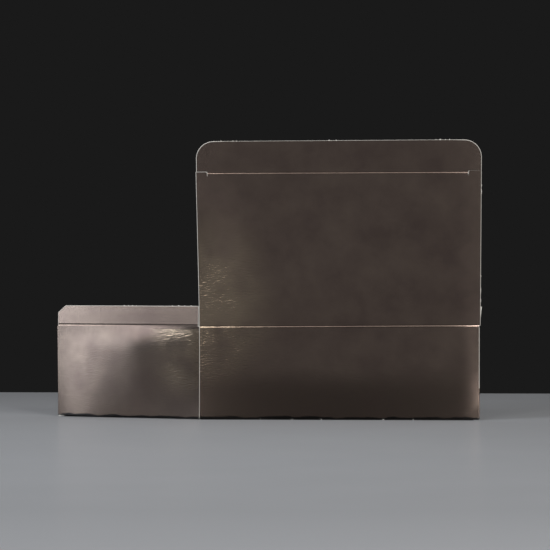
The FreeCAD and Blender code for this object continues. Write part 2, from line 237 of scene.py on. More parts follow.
def make_fibre_group():
    group, given, out = node_group("Board fibre", [
        ("Vector", VECTOR, None), ("Pale", COLOR, (0.6, 0.57, 0.52, 1)),
        ("Dark", COLOR, (0.4, 0.37, 0.33, 1)), ("Scale", FLOAT, 1.0),
    ], [("Color", COLOR), ("Height", FLOAT)])
    place = given.outputs["Vector"]
    stretch = add(group, "ShaderNodeMapping", vector_type="POINT", Scale=FIBRE_SCALE,
                  Vector=place)
    fibre = cloud(group, stretch.outputs["Vector"], Scale=given.outputs["Scale"], Detail=5.0,
                  Roughness=0.65)
    shift = calc(group, "MULTIPLY", cloud(group, place, Scale=40.0, Detail=3.0), CLOUDS)
    both = calc(group, "MULTIPLY_ADD", fibre, 1 - CLOUDS, shift)
    fill(out, Color=mix(group, both, given.outputs["Dark"], given.outputs["Pale"]),
         Height=fibre)
    return group


fibre_group = make_fibre_group()
print("group:", fibre_group.name, "with", len(fibre_group.nodes), "nodes")

# %% [markdown]
# The film is a dark metallic laminate with a soft gloss. It could be one flat bronze, but three
# mixes make its colour: a cloudy tone that differs at random, a paler, warmer painted highlight
# over the rippled patch, and painted shade, nearly black, along the floor. Two bumps make its fine
# grain and its ripples. It is made twice, because the side wall and its dust flap are rippled, and
# carry their painted highlight, in another place.

# %% Film
BRONZE = (0.180, 0.134, 0.106, 1)
DARK_BRONZE = (0.122, 0.087, 0.072, 1)
# painted highlight: a paler, warmer film colour over the rippled patch
GOLDEN_PAINTED_HIGHLIGHT = (0.262, 0.203, 0.145, 1)
# painted shade: a near-black band along the floor, where the walls meet the table
PAINTED_FOOT_SHADE = (0.012, 0.010, 0.009, 1)
UNEVEN_FOOT = -0.0044  # how far the noise moves the upper end of the painted shade band, in metres


def finish(name):
    """A new material, its tree, its shader, and the place on the piece."""
    material = bpy.data.materials.new(name)
    material.use_nodes = True
    tree = material.node_tree
    place = add(tree, "ShaderNodeTexCoord").outputs["Object"]
    return material, tree, tree.nodes["Principled BSDF"], place


def make_film(name, **rippled):
    """The film. The named values place its ripples and its painted highlight, and the group has
    the usual ones.
    """
    material, tree, shader, place = finish(name)
    tone = cloud(tree, place, Scale=40.0, Detail=5.0, Roughness=0.62)
    ripple = add(tree, "ShaderNodeGroup", node_tree=ripple_group, Vector=place, **rippled)
    cloudy = mix(tree, remap(tree, tone, From_Min=0.3, From_Max=0.7), BRONZE, DARK_BRONZE)
    # Painted highlight: the colour turns paler and warmer over the rippled patch.
    with_painted_highlight = mix(tree, ripple.outputs["Worked"], cloudy, GOLDEN_PAINTED_HIGHLIGHT)
    height = add(tree, "ShaderNodeSeparateXYZ", place).outputs["Z"]
    # Painted shade: the film turns nearly black in a thin band along the floor, with a noisy upper
    # edge.
    low = calc(tree, "MULTIPLY_ADD", cloud(tree, place, Scale=90.0, Detail=3.0), UNEVEN_FOOT,
               height)
    foot = remap(tree, low, From_Min=0.0002, From_Max=-0.0003)
    grain = cloud(tree, place, Scale=900.0, Detail=3.0)
    fine = add(tree, "ShaderNodeBump", Strength=0.12, Distance=0.0002, Height=grain)
    wavy = add(tree, "ShaderNodeBump", Strength=1.0, Distance=0.00032,
               Height=ripple.outputs["Height"], Normal=fine.outputs["Normal"])
    fill(shader, Metallic=1.0, Coat_Weight=0.25, Coat_Roughness=0.22,
         Base_Color=mix(tree, foot, with_painted_highlight, PAINTED_FOOT_SHADE),
         Roughness=remap(tree, tone, To_Min=0.15, To_Max=0.22),
         Normal=wavy.outputs["Normal"])
    return material


film = make_film("metallised_film")
side_film = make_film("metallised_film_side", Seam=-0.060, Reach=0.034, Middle=0.053,
                      Ceiling=0.0675, Depth=0.6)
print("films:", film.name, side_film.name)

# %% [markdown]
# The inside is bare board, matt and off-white. A die-cut edge shows the core of the board, a
# little darker and finer in its fibre. Both come from the same group, with their own values.

# %% Bare board
BARE_PALE = (0.72, 0.70, 0.65, 1)
BARE_DARK = (0.55, 0.52, 0.47, 1)
CORE_PALE = (0.57, 0.545, 0.505, 1)
CORE_DARK = (0.39, 0.35, 0.30, 1)


def make_bare_board(name, pale, dark, scale, roughness):
    material, tree, shader, place = finish(name)
    fibre = add(tree, "ShaderNodeGroup", node_tree=fibre_group, Vector=place, Pale=pale,
                Dark=dark, Scale=scale)
    rough = add(tree, "ShaderNodeBump", Strength=0.3, Distance=0.0001,
                Height=fibre.outputs["Height"])
    fill(shader, Roughness=roughness, Base_Color=fibre.outputs["Color"],
         Normal=rough.outputs["Normal"])
    return material


bare_board = make_bare_board("bare_board", BARE_PALE, BARE_DARK, 1.0, 0.85)
board_core = make_bare_board("board_core", CORE_PALE, CORE_DARK, 3.0, 0.7)
FINISHES = (film, bare_board, board_core, side_film)
FILM, BARE, CORE, SIDE_FILM = range(4)
print("finishes:", [m.name for m in FINISHES])

# %% [markdown]
# A panel of board starts as its outline, a single face. Its rounded corners could be drawn point
# by point, but a bevel on the corner itself does it with one radius. A flat face can't bow, so
# it is scored with a regular grid of cuts, which leave its outline as it is.

# %% Outline of a panel
def cut_outline(bm, outline, rounds, pitch):
    """The panel's outline as one face, its corners rounded, scored on a regular grid."""
    corners = [bm.verts.new((x, y, 0)) for x, y in outline]
    bm.faces.new(corners)
    for index, reach in rounds:
        bmesh.ops.bevel(bm, geom=[corners[index]], offset=reach, offset_type="OFFSET",
                        affect="VERTICES", segments=12, profile=0.5, material=-1)
    for axis in (0, 1):
        low = min(c[axis] for c in outline)
        high = max(c[axis] for c in outline)
        count = max(1, round((high - low) / pitch[axis]))
        across = Vector((axis == 0, axis == 1, 0))
        for k in range(1, count):
            level = low + (high - low) * k / count
            bmesh.ops.bisect_plane(bm, geom=bm.verts[:] + bm.edges[:] + bm.faces[:],
                                   dist=1e-4, plane_co=across * level, plane_no=across)


def rectangle(x0, y0, x1, y1):
    return [(x0, y0), (x1, y0), (x1, y1), (x0, y1)]


trial = bmesh.new()
cut_outline(trial, rectangle(0, 0, 24, 16), [(2, 4)], (8, 8))
print("a trial outline of 24 x 16 mm, with one corner rounded, has", len(trial.faces), "faces")
trial.free()

# %% [markdown]
# The face is then extruded through the board. The die crushes the film's side of a cut edge,
# which is a small bevel along the rim. A Solidify modifier could thicken the panel too, but it
# can't tell a cut edge, which is crushed, from a creased one, which isn't.

# %% Thickness of a panel
CUT_EDGE = 0.38  # crushed rim of a die-cut edge
NEAR = 0.1  # closer to a line than this is on it


def thicken(bm, rim, creased):
    """Extrude the face through the board and crush the film's side of every cut edge."""
    bmesh.ops.recalc_face_normals(bm, faces=bm.faces[:])
    if bm.faces[0].normal.z > 0:
        bmesh.ops.reverse_faces(bm, faces=bm.faces[:])
    raised = bmesh.ops.extrude_face_region(bm, geom=bm.faces[:], use_keep_orig=True)
    lifted = [v for v in raised["geom"] if isinstance(v, bmesh.types.BMVert)]
    bmesh.ops.translate(bm, vec=(0, 0, BOARD), verts=lifted)
    bmesh.ops.recalc_face_normals(bm, faces=bm.faces[:])
    if not rim:
        return
    top = [e for e in bm.edges if len(e.link_faces) == 2
           and all(v.co.z > BOARD / 2 for v in e.verts)
           and min(f.normal.z for f in e.link_faces) < 0.5
           and max(f.normal.z for f in e.link_faces) > 0.5
           and not creased(sum((v.co for v in e.verts), Vector()) / 2)]
    bmesh.ops.bevel(bm, geom=top, offset=rim, offset_type="OFFSET", affect="EDGES",
                    segments=2, profile=0.5, material=-1)


def never(place):
    return False


def paint_by_side(bm, skin=FILM):
    """Film on the outer side, bare board on the inner one, and the core between them."""
    for face in bm.faces:
        side = face.normal.z
        face.material_index = skin if side > 0.97 else BARE if side < -0.97 else CORE


def cut_panel(outline, place, rounds=(), pitch=(8, 8), rim=CUT_EDGE, creased=never, bow=None,
              skin=FILM, soften=None):
    """A finished panel in its place, as a bmesh in millimetres."""
    bm = bmesh.new()
    cut_outline(bm, outline, rounds, pitch)
    thicken(bm, rim, creased)
    paint_by_side(bm, skin)
    if soften:
        soften(bm)
    if bow:
        for vert in bm.verts:
            vert.co.z += bow(vert.co.x, vert.co.y)
    bmesh.ops.transform(bm, matrix=place, verts=bm.verts[:])
    return bm


trial = cut_panel(rectangle(0, 0, 24, 16), back_frame)
print("a trial panel of 24 x 16 mm has", len(trial.faces), "faces")
trial.free()

# %% [markdown]
# Board that has been folded and opened again isn't flat. The back wall and the lid bow to the
# front. Sculpting each panel would tear them apart where they meet, so the bow is one field
# over the whole box: it says how far any point is pushed, and neighbours that share a point
# stay together.

# %% Bow
BULGE = 0.9  # bow to the front, away from the side edges
DISH = 1.5  # pressed in between the floor and the lid's crease
LEFT_RUN = 48  # over which the left edge curves back
RIGHT_RUN = 14  # the same at the right edge of the wall
RIGHT_WIDER = 31  # and how much longer that run is on the lid
WIDER_RUN = 40  # height over which it grows
RIGHT_BACK = 0.25  # how far the right edge curves back at the floor
RIGHT_BACK_HIGH = 0.95  # and how much further above
FIRM = 60  # up to this height the floor still holds the side edges
FADE_END = 10  # the bow has faded out this far behind the middle of the box
FADE_RUN = 13


def share(value):
    """A number kept between 0 and 1."""
    return min(1, max(0, value))


def bow(place):
    """How far a point has moved to the front: out from the side edges of the back wall and
    the lid, and in again between the floor and the lid's crease."""
    left = share(1 - (place.x - back_left.x) / LEFT_RUN)
    run = RIGHT_RUN + RIGHT_WIDER * share((place.z - FIRM) / WIDER_RUN)
    right = max(0, 1 - (back_right.x - place.x) / run)
    near = share((FADE_END - place.y) / FADE_RUN)
    dish = DISH * math.sin(math.pi * share(place.z / HEIGHT))
    high = share(place.z / FIRM)
    curve = BULGE * high * left ** 2
    rise = BULGE - curve - (RIGHT_BACK + RIGHT_BACK_HIGH * high) * right ** 2
    return (rise - dish) * near


wall_middle = (back_left + back_right) / 2 + up * HEIGHT / 2
lid_middle = wall_middle + up * HEIGHT
print(f"bow: wall {bow(wall_middle):.2f} mm, lid {bow(lid_middle):.2f} mm")

# %% [markdown]
# A second field moves points to the left and right. The front left corner of the tube has
# splayed out, most of all at its top, and the ends of the back wall have drawn in. A lattice
# could bend the finished pieces too, but a function is exact, and every piece goes through it.

# %% Splay
CORNER_OUT = 0.7  # front left corner, at the floor
CORNER_LEAN = 0.9  # and how much further at its top
CORNER_TOP = 80  # height at which that is reached
LEFT_SPAN = 109  # that corner to the seam
RIGHT_IN = 0.55  # right end of the back wall and the lid
RIGHT_SPAN = 99  # length of wall over which it draws in
SEAM_IN = 0.6  # left end of the back wall and the lid's foot
SEAM_SPAN = 40
SEAM_TOP = 130  # height at which that has faded out
SEAM_FADE = 50


def splay(place):
    """How far a point has moved to the left."""
    outer_end = share((back_left.x - place.x) / LEFT_SPAN)
    right_end = share((place.x - back_right.x) / RIGHT_SPAN + 1)
    seam = max(0, 1 - abs(place.x - back_left.x) / SEAM_SPAN)
    seam = seam * share((SEAM_TOP - place.z) / SEAM_FADE)
    out = (CORNER_OUT + CORNER_LEAN * min(1, place.z / CORNER_TOP)) * outer_end
    return out + RIGHT_IN * right_end - SEAM_IN * seam


print(f"splay: left corner {splay(front_left):.2f} mm, right end {splay(back_right):.2f} mm")

# %% [markdown]
# Several bmeshes make one piece, such as the four walls and the folds between them. Joining
# objects by an operator would need a selection, so the bmeshes are poured into one instead.
# There the two fields above move the points, edges between two finishes are kept sharp, and
# millimetres become metres. The piece sits at the origin and rides on its CAD body.

# %% Making a piece
SHARP = math.radians(35)


def as_piece(name, parts, body, replaces=()):
    """Join several bmeshes into one piece in metres, which rides on a CAD body."""
    whole = bmesh.new()
    for part in parts:
        scrap = bpy.data.meshes.new("scrap")
        part.to_mesh(scrap)
        part.free()
        whole.from_mesh(scrap)
        bpy.data.meshes.remove(scrap)
    for vert in whole.verts:
        aside = splay(vert.co)
        forward = bow(vert.co)
        vert.co.x -= aside
        vert.co.y -= forward
    for face in whole.faces:
        face.smooth = True
    for edge in whole.edges:
        finishes = {face.material_index for face in edge.link_faces}
        edge.smooth = len(finishes) == 1 and edge.calc_face_angle(0) < SHARP
    bmesh.ops.scale(whole, vec=(MM, MM, MM), verts=whole.verts[:])
    mesh = bpy.data.meshes.new(name)
    whole.to_mesh(mesh)
    whole.free()
    for material in FINISHES:
        mesh.materials.append(material)
    piece = bpy.data.objects.new(name, mesh)
    bpy.context.scene.collection.objects.link(piece)
    if body:
        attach(piece, body)
    if replaces:
        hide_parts(*replaces)
    print(f"{name}: {len(mesh.polygons)} faces")
    return piece


print("an edge is sharp from", round(math.degrees(SHARP)), "degrees")

# %% [markdown]
# A crease folded right over is a round bar of board: its outside turns about the inner corner with
# the thickness of the board as its radius. It could be swept along a curve, but a cone tool with
# equal ends makes the bar at once. A cut at the floor leaves the flat that the box stands on, and
# a fold can be painted as pale board above a height, which is a painted highlight along it.

# %% Folded creases
FOLD_CUTS = 18  # so that a fold can bow with its walls


def fold_bar(start, end):
    """A round bar of board from start to end."""
    run = end - start
    bm = bmesh.new()
    bmesh.ops.create_cone(bm, cap_ends=True, segments=24, radius1=BOARD, radius2=BOARD,
                          depth=run.length)
    for count in range(1, FOLD_CUTS):
        bmesh.ops.bisect_plane(bm, geom=bm.verts[:] + bm.edges[:] + bm.faces[:], dist=1e-5,
                               plane_co=(0, 0, run.length * (count / FOLD_CUTS - 0.5)),
                               plane_no=(0, 0, 1))
    turn = run.to_track_quat("Z", "Y").to_matrix().to_4x4()
    bmesh.ops.transform(bm, matrix=Matrix.Translation((start + end) / 2) @ turn,
                        verts=bm.verts[:])
    for face in bm.faces:
        face.material_index = FILM
    return bm


def painted_highlight_fold(bm, low):
    """A fold painted as pale board above a height: a painted highlight along it."""
    for face in bm.faces:
        if face.calc_center_median().z > low:
            face.material_index = CORE
    return bm


def stand_on_floor(bm):
    """Cut away what is below the floor and close the cut."""
    cut = bmesh.ops.bisect_plane(bm, geom=bm.verts[:] + bm.edges[:] + bm.faces[:], dist=1e-5,
                                 plane_co=(0, 0, 0), plane_no=(0, 0, 1), clear_inner=True)
    rim = [e for e in cut["geom_cut"] if isinstance(e, bmesh.types.BMEdge)]
    if rim:
        bmesh.ops.contextual_create(bm, geom=rim)
    return bm


print("a fold is a bar of", 2 * BOARD, "mm, cut into", FOLD_CUTS, "lengths")

# %% [markdown]
# Each wall has a shape of its own. The side walls swell between their creases, the left one
# most of all at its foot by the front fold, and nearer the seam it dips in under its top
# crease. The back wall's lower right corner is pushed in. The foot of a wall has torn in
# small steps along the floor. These are sums of simple curves over the panel, which are
# easier to judge than dragged points.

# %% Shapes of the walls
FRONT_DROP = 0.5  # free top edge of the front wall
WALL_TOP = HEIGHT - STRIP
SIDE_TOP = HEIGHT + SIDE_LIFT - STRIP
FRONT_TOP = HEIGHT - FRONT_DROP
SIDE_FOOT = FOOT + SIDE_LIFT
BACK_FOOT = 0.5  # the back wall's foot above the floor
RIGHT_SWELL = 1.5
SWELL = 2.8  # of the left wall at its foot, by the front fold
DIP = 1.5  # of the left wall under its crease
DIP_DROP = 13  # from that crease down to where the wall is full again
DIP_RUN = 60  # and from the front fold to where the dip has its depth
FOLD_RUN = 16  # how far a fold holds the wall beside it
CREASE_RUN = 25
SEAM_RUN = 5
BUCKLE = 0.9
BUCKLE_LONG = 13
BUCKLE_HIGH = 10
BACK_STEPS = (23, 58, 118, 160, 192)  # where the foot of the back wall has torn
LEFT_STEPS = (66, 92)
WORN = (0.0, 0.2, 0.05, 0.25, 0.1, 0.15)  # heights of a torn foot, from step to step
TEAR = 1.2  # length of such a step


def pillow(width, low, high, depth):
    """A panel that swells gently out between its four creases."""
    def swell(x, y):
        return depth * math.sin(math.pi * x / width) * math.sin(math.pi * (y - low) / (high - low))
    return swell


def side_swell(x, y):
    """How far the left wall stands out, in its own frame."""
    from_fold = 1 - math.exp(-x / FOLD_RUN)
    height = (y - SIDE_FOOT) / (SIDE_TOP - SIDE_FOOT)
    corner = from_fold * (1 - x / LEFT_DEPTH) * (1 - math.exp((y - SIDE_TOP) / CREASE_RUN))
    below = SIDE_TOP - y
    ledge = (below - 2 * math.log(1 + math.exp((below - DIP_DROP) / 2))) / DIP_DROP
    shelf = from_fold * (1 - math.exp((x - LEFT_DEPTH) / SEAM_RUN)) * ledge
    return SWELL * corner * (1 - height) + DIP * shelf * height * min(1, x / DIP_RUN)


def buckle(x, y):
    """The back wall's corner is pushed in along a slanting line."""
    along = (x - LENGTH + BUCKLE_LONG) / BUCKLE_LONG
    return -BUCKLE * max(0, along + (BUCKLE_HIGH - y) / BUCKLE_HIGH - 1)


def worn_foot(width, foot, top, steps):
    """A wall whose bottom crease has torn in small steps along the floor."""
    outline = [(0, foot)]
    for x, before, after in zip(steps, WORN, WORN[1:]):
        outline += [(x, foot + before), (x + TEAR, foot + after)]
    return outline + [(width, foot), (width, top), (0, top)]


print(f"left wall swells {side_swell(LEFT_DEPTH / 4, HEIGHT / 3):.1f} mm a quarter along")

# %% [markdown]
# The tube is four walls, the glue flap inside the seam, and the folds between them. On the
# sheet they are one piece of board, so here they are one piece too, which stands for the CAD
# body. Only the edges that the die cut are crushed, and a creased edge stays as it is.

# %% Tube
BACK_RIM = 0.3  # the back wall's cut edge is crushed less
FINE = (4, 4)  # a closer grid, for panels with a shape of their own
GLUE_WIDTH = 15
GLUE_LOW = 4  # its ends, back from the creases at floor and lid
GLUE_SHOULDER = 10  # and where its slanting ends reach the full width
HIGHLIGHT_FROM = 24  # height above which the right fold is painted pale, a painted highlight

tube = [
    cut_panel(worn_foot(LENGTH, BACK_FOOT, WALL_TOP, BACK_STEPS), back_frame,
              rim=BACK_RIM, creased=lambda p: p.x > NEAR, pitch=FINE, bow=buckle),
    cut_panel(rectangle(0, SIDE_FOOT, DEPTH, SIDE_TOP), right_frame, rim=0,
              bow=pillow(DEPTH, SIDE_FOOT, SIDE_TOP, RIGHT_SWELL)),
    cut_panel(rectangle(0, FOOT, FRONT_LENGTH, FRONT_TOP), front_frame,
              creased=lambda p: p.y < HEIGHT / 2 or not NEAR < p.x < FRONT_LENGTH - NEAR),
    cut_panel(worn_foot(LEFT_DEPTH, SIDE_FOOT, SIDE_TOP, LEFT_STEPS), left_frame, rim=0,
              pitch=FINE, bow=side_swell, skin=SIDE_FILM),
    cut_panel([(0, GLUE_LOW), (GLUE_WIDTH, GLUE_SHOULDER), (GLUE_WIDTH, HEIGHT - GLUE_SHOULDER),
               (0, HEIGHT - GLUE_LOW)], panel_frame(glue_corner, 0),
              creased=lambda p: p.x < NEAR),
    # the right fold is painted pale board above a height: a painted highlight along the right edge
    painted_highlight_fold(fold_bar(back_right + up * SIDE_FOOT, back_right + up * WALL_TOP), HIGHLIGHT_FROM),
    fold_bar(front_right + up * SIDE_FOOT, front_right + up * FRONT_TOP),
    fold_bar(front_left + up * SIDE_FOOT, front_left + up * FRONT_TOP),
    fold_bar(glue_corner + up * GLUE_LOW, glue_corner + up * (HEIGHT - GLUE_LOW)),
]
as_piece("carton_tube", tube, "carton_body", ["carton_body"])

# %% [markdown]
# The crash-lock bottom is still folded up inside the half-opened tube. Its flaps could be
# placed by eye, but glued flaps leave only one angle at which both lie in one plane, so the
# lean and the diagonal crease are worked out from the angle of the tube.

# %% Angles of the bottom
TILT = math.degrees(math.asin(math.tan(math.radians(OPEN_ANGLE / 2))))
cos_tilt, sin_tilt = math.cos(math.radians(TILT)), math.sin(math.radians(TILT))
dihedral = math.acos(math.cos(math.radians(OPEN_ANGLE)) * cos_tilt ** 2 - sin_tilt ** 2)
fold_major = (2 * BOARD - SIDE_LIFT * sin_tilt + BOARD * math.cos(dihedral)) / math.sin(dihedral)
fold_minor = fold_major * math.cos(dihedral) + BOARD * math.sin(dihedral)
MAJOR_START = math.sqrt(2) * fold_major
TAB_START = math.sqrt(2) * fold_minor + SIDE_LIFT * cos_tilt
TAB_DROP = SIDE_LIFT * cos_tilt - (fold_major - fold_minor) / math.sqrt(2)
print(f"flaps lean {TILT:.2f} degrees, diagonal crease opens {math.degrees(dihedral):.1f}")

# %% [markdown]
# Two long flaps have a low half and a hook half, which catch each other when the box is
# squared up. The two differ only in width and corner, so one function will do, and turning its
# frame by half a turn puts the second flap opposite the first.

# %% Long bottom flaps
FLAP_END = 1.5  # a flap's free end, back from the corner crease
CUT_ROUND = 1.5
LOW_REACH = DEPTH / 2 - 2.5  # the low half stops short of the middle
HOOK_REACH = DEPTH / 2 + 7.5  # and the hook half passes it
HOOK_ROUND = 12
HALF_STEP = 2  # half the run of the slope between the two
TAB_RELIEF = 4  # a glue tab's ends, back from the ends of the diagonal crease
TAPER = math.tan(math.radians(4))  # of every flap's free side


def on_crease(place):
    return place.y < NEAR


def major_flap(width, corner, heading):
    place = panel_frame(corner + up * FOOT, heading, TILT)
    free = width - FLAP_END
    outline = [(MAJOR_START, 0), (free, 0), (free - HOOK_REACH * TAPER, HOOK_REACH),
               (width / 2 + HALF_STEP, HOOK_REACH), (width / 2 - HALF_STEP, LOW_REACH),
               (MAJOR_START + LOW_REACH, LOW_REACH)]
    flap = cut_panel(outline, place, creased=on_crease,
                     rounds=[(2, HOOK_ROUND), (3, CUT_ROUND), (4, CUT_ROUND)])
    crease = stand_on_floor(fold_bar(place @ Vector((MAJOR_START, 0, 0)),
                                     place @ Vector((free, 0, 0))))
    low, high = TAB_RELIEF, LOW_REACH - TAB_RELIEF
    diagonal = fold_bar(place @ Vector((MAJOR_START + low, low, BOARD)),
                        place @ Vector((MAJOR_START + high, high, BOARD)))
    return [flap, crease, diagonal]


print(f"low half reaches {LOW_REACH:.1f} mm, hook half {HOOK_REACH:.1f} mm")

# %% [markdown]
# Two short flaps carry the tabs that are folded back from the long ones along the diagonal
# crease and glued. A tab lies flat on its flap, so it is cut in the same frame, moved out by
# one thickness of board. All four flaps and their folds make one piece, inside the tube.

# %% Short bottom flaps
MINOR_REACH = 50
MINOR_START = 6  # from the glued corner
TAB_WIDTH = 20
STEP_ROUND = 3
MINOR_ROUND = 5
STEEP = math.tan(math.radians(40))  # of its edge by the diagonal crease


def minor_flap(width, corner, heading):
    place = panel_frame(corner + up * SIDE_FOOT, heading, TILT)
    free = width - FLAP_END
    slope = MINOR_START + MINOR_REACH / STEEP
    flap = cut_panel([(-free, 0), (-MINOR_START, 0), (-slope, MINOR_REACH),
                      (MINOR_REACH * TAPER - free, MINOR_REACH)], place,
                     rounds=[(2, STEP_ROUND), (3, MINOR_ROUND)], creased=on_crease)
    far = TAB_START + math.sqrt(2) * TAB_WIDTH
    foot, head = TAB_RELIEF - TAB_DROP, LOW_REACH - TAB_RELIEF - TAB_DROP
    far_head = LOW_REACH - TAB_WIDTH
    tab = cut_panel([(-TAB_START - foot, foot), (-TAB_START - head, head),
                     (-far - far_head, far_head), (-far - foot, foot)],
                    place @ Matrix.Translation((0, 0, BOARD)),
                    creased=lambda p: p.x + p.y > -TAB_START - NEAR)
    crease = stand_on_floor(fold_bar(place @ Vector((-free, 0, 0)),
                                     place @ Vector((-MINOR_START, 0, 0))))
    return [flap, tab, crease]


bottom = (major_flap(LENGTH, back_right, 180) + major_flap(FRONT_LENGTH, front_left, 0)
          + minor_flap(LEFT_DEPTH, front_left, 180 - OPEN_ANGLE)
          + minor_flap(DEPTH, back_right, -OPEN_ANGLE))
as_piece("crash_lock_bottom", bottom, "carton_body")

# %% [markdown]
# The lid stands open above the back wall. A slit at each end of its tuck crease, with a short
# hook cut down from it, holds the closed lid. The slits could be cut out afterwards with a
# boolean, but they open at the edge, so they are simply part of the outline.

# %% Lid
SLIT = 8.5  # length of a slit
KERF = 0.3  # its width
RISE = 0.8  # above the tuck crease
HOOK = 3.0  # from the tuck crease down to the hook's end
SLIT_LOW = 0.7  # the left end of their line was cut this much too low
SAG = 2.5  # of the lid between its creases, at its left edge
SAG_RUN = 110  # from there to where it is flat
CURL = 1.4  # of that edge, further back
CURL_RUN = 40
SLIT_BLUNT = 0.5  # the part of its rim that the left slit lacks
HAIR = 0.01
inner, outer = SLIT + KERF / 2, SLIT - KERF / 2
RIGHT_SLIT = LID_WIDTH - SLIT - 1.2  # the right slit came out a little longer
right_inner, right_outer = RIGHT_SLIT - KERF / 2, RIGHT_SLIT + KERF / 2


def slit_line(x):
    """The line that both slits lie on."""
    return LID_LENGTH + RISE - SLIT_LOW * (1 - x / LID_WIDTH)


def shoulder(x):
    return (x, slit_line(x) - KERF / 2)


def lid_crease(place):
    """Edges of the lid that the die didn't crush: both creases, and most of the slits."""
    right_slit = place.y > shoulder(place.x)[1] - NEAR and place.x > LID_WIDTH / 2
    between = outer + NEAR < place.x < right_outer - NEAR
    return place.y < STRIP + NEAR or between or right_slit


def lid_bow(x, y):
    """How far the lid sags back between its creases, and its left edge further."""
    wave = math.sin(math.pi * (y - STRIP) / (LID_LENGTH - 2 * STRIP))
    sag = SAG * max(0, 1 - x / SAG_RUN) * wave ** 2
    return -sag - CURL * max(0, 1 - x / CURL_RUN) ** 2 * wave


def blunt_slit(bm):
    """The left slit was cut clean, so its rim is narrower than the others."""
    for vert in bm.verts:
        under = shoulder(vert.co.x)[1] - vert.co.y
        if HAIR < under < CUT_EDGE + HAIR and vert.co.x < outer:
            vert.co.y += SLIT_BLUNT * under


lid_outline = [(0, STRIP), (LID_WIDTH, STRIP), shoulder(LID_WIDTH),
               shoulder(right_outer), (right_outer, LID_LENGTH - HOOK),
               (right_inner, LID_LENGTH - HOOK), (right_inner, LID_LENGTH - STRIP),
               (inner, LID_LENGTH - STRIP), (inner, LID_LENGTH - HOOK),
               (outer, LID_LENGTH - HOOK), shoulder(outer), shoulder(0)]
as_piece("lid_panel", [cut_panel(
    lid_outline, lid_frame, creased=lid_crease, pitch=(6, 6), bow=lid_bow,
    soften=blunt_slit)], "lid", ["lid"])

# %% [markdown]
# The tuck flap above the lid has two rounded corners, so that it slides into the closed box. A
# subdivision surface could round them, but it would soften the whole flap, so each is a bevel
# of one radius. The free edge runs a little down to the left, as the sheet was cut askew.

# %% Tuck flap
TUCK_ROUND = 13
TUCK_SHORT = 0.9  # how much shorter the flap is at its left end
TUCK_LEFT = 0.4  # its left edge, in from the lid's
TUCK_LEFT_TOP = 0.45
TOP_BLUNT = 0.6  # the part of its rim that the straight edge lacks
BLUNT_RUN = 10


def tuck_top(x):
    """The tuck flap's free edge."""
    return LID_LENGTH + TUCK_LENGTH - TUCK_SHORT * (1 - x / LID_WIDTH)


def tuck_end(x):
    return (x, slit_line(x) + KERF / 2)


def blunt_top(bm):
    """Along its straight free edge the die crushed the flap less than round its corners."""
    for vert in bm.verts:
        under = tuck_top(vert.co.x) - vert.co.y
        if HAIR < under < CUT_EDGE + HAIR:
            inside = (min(vert.co.x, LID_WIDTH - vert.co.x) - TUCK_ROUND) / BLUNT_RUN
            vert.co.y += TOP_BLUNT * under * share(inside)


tuck_outline = [(inner, LID_LENGTH + STRIP), (right_inner, LID_LENGTH + STRIP),
                tuck_end(right_inner), tuck_end(LID_WIDTH),
                (LID_WIDTH, tuck_top(LID_WIDTH)), (TUCK_LEFT_TOP, tuck_top(0)),
                tuck_end(TUCK_LEFT), tuck_end(inner)]
as_piece("tuck_panel", [cut_panel(
    tuck_outline, lid_frame, rounds=[(4, TUCK_ROUND), (5, TUCK_ROUND)], pitch=(6, 6),
    soften=blunt_top, creased=lambda p: p.y < LID_LENGTH + STRIP + NEAR)],
    "tuck_flap", ["tuck_flap"])

# %% [markdown]
# A dust flap stands on each side wall. The left one is in plain view: its outer end is cut
# with a chamfer, and its inner end runs up to the lid. Neither stands quite upright, so its
# frame is turned about its crease, and the panel itself is still cut flat.

# %% Dust flaps
SIDE_CREASE = HEIGHT + SIDE_LIFT
DUST_HEIGHT = 14
DUST_SHOULDER = 8.7  # height of its upright end below the chamfer
DUST_SLOPE = 6
DUST_INSET = 0.3  # that end, back from the front wall's crease
DUST_RELIEF = 0.6  # its other end, back from the lid
DUST_PAST = 1.0  # the right one runs past the corner instead
DUST_LEAN = 3.0  # the left dust flap leans in a little
SPRUNG = 8.0  # the right one has sprung out
CORNER_SPRUNG = 2.5  # and its corner beside the lid further
CORNER_RUN = 25
crease_line = Vector((0, SIDE_CREASE, BOARD / 2))


def dust_outline(front_end, lid_end):
    inward = 1 if lid_end > front_end else -1
    low, high = SIDE_CREASE + STRIP, SIDE_CREASE + DUST_HEIGHT
    return [(front_end, low), (lid_end, low), (lid_end, high),
            (front_end + inward * DUST_SLOPE, high), (front_end, SIDE_CREASE + DUST_SHOULDER)]


def side_crease(place):
    return place.y < SIDE_CREASE + STRIP + NEAR


def leant(place, degrees):
    """A panel's frame, turned about its crease line."""
    about = Matrix.Translation(crease_line)
    return place @ about @ Matrix.Rotation(math.radians(degrees), 4, "X") @ about.inverted()


def corner_curl(x, y):
    """How far the right flap's corner beside the lid has sprung out."""
    along = max(0, 1 - x / CORNER_RUN)
    return CORNER_SPRUNG * along ** 2 * ((y - SIDE_CREASE) / DUST_HEIGHT) ** 2


dust_frame = leant(left_frame, -DUST_LEAN)
as_piece("dust_panel_left", [cut_panel(
    dust_outline(DUST_INSET, LEFT_DEPTH - DUST_RELIEF), dust_frame, creased=side_crease,
    skin=SIDE_FILM)],
    "dust_flap_left", ["dust_flap_left"])
as_piece("dust_panel_right", [cut_panel(
    dust_outline(DEPTH - DUST_INSET, -DUST_PAST), leant(right_frame, SPRUNG),
    creased=side_crease, pitch=FINE, bow=corner_curl)],
    "dust_flap_right", ["dust_flap_right"])

# %% [markdown]
# A live crease is pressed into the board by a blunt rule: a groove on the film's side and a bead
# on the inside. A bump in the film could draw it, but this crease has to bend. It belongs to both
# panels, so it is a narrow strip of its own between them, which rides on neither body. Where the
# two panels already lean, the strip is turned to follow them.

# %% Bending a crease
GROOVE_WIDTH = 0.6
CREASE_PITCH = (10, 0.15)  # a very close grid across the strip


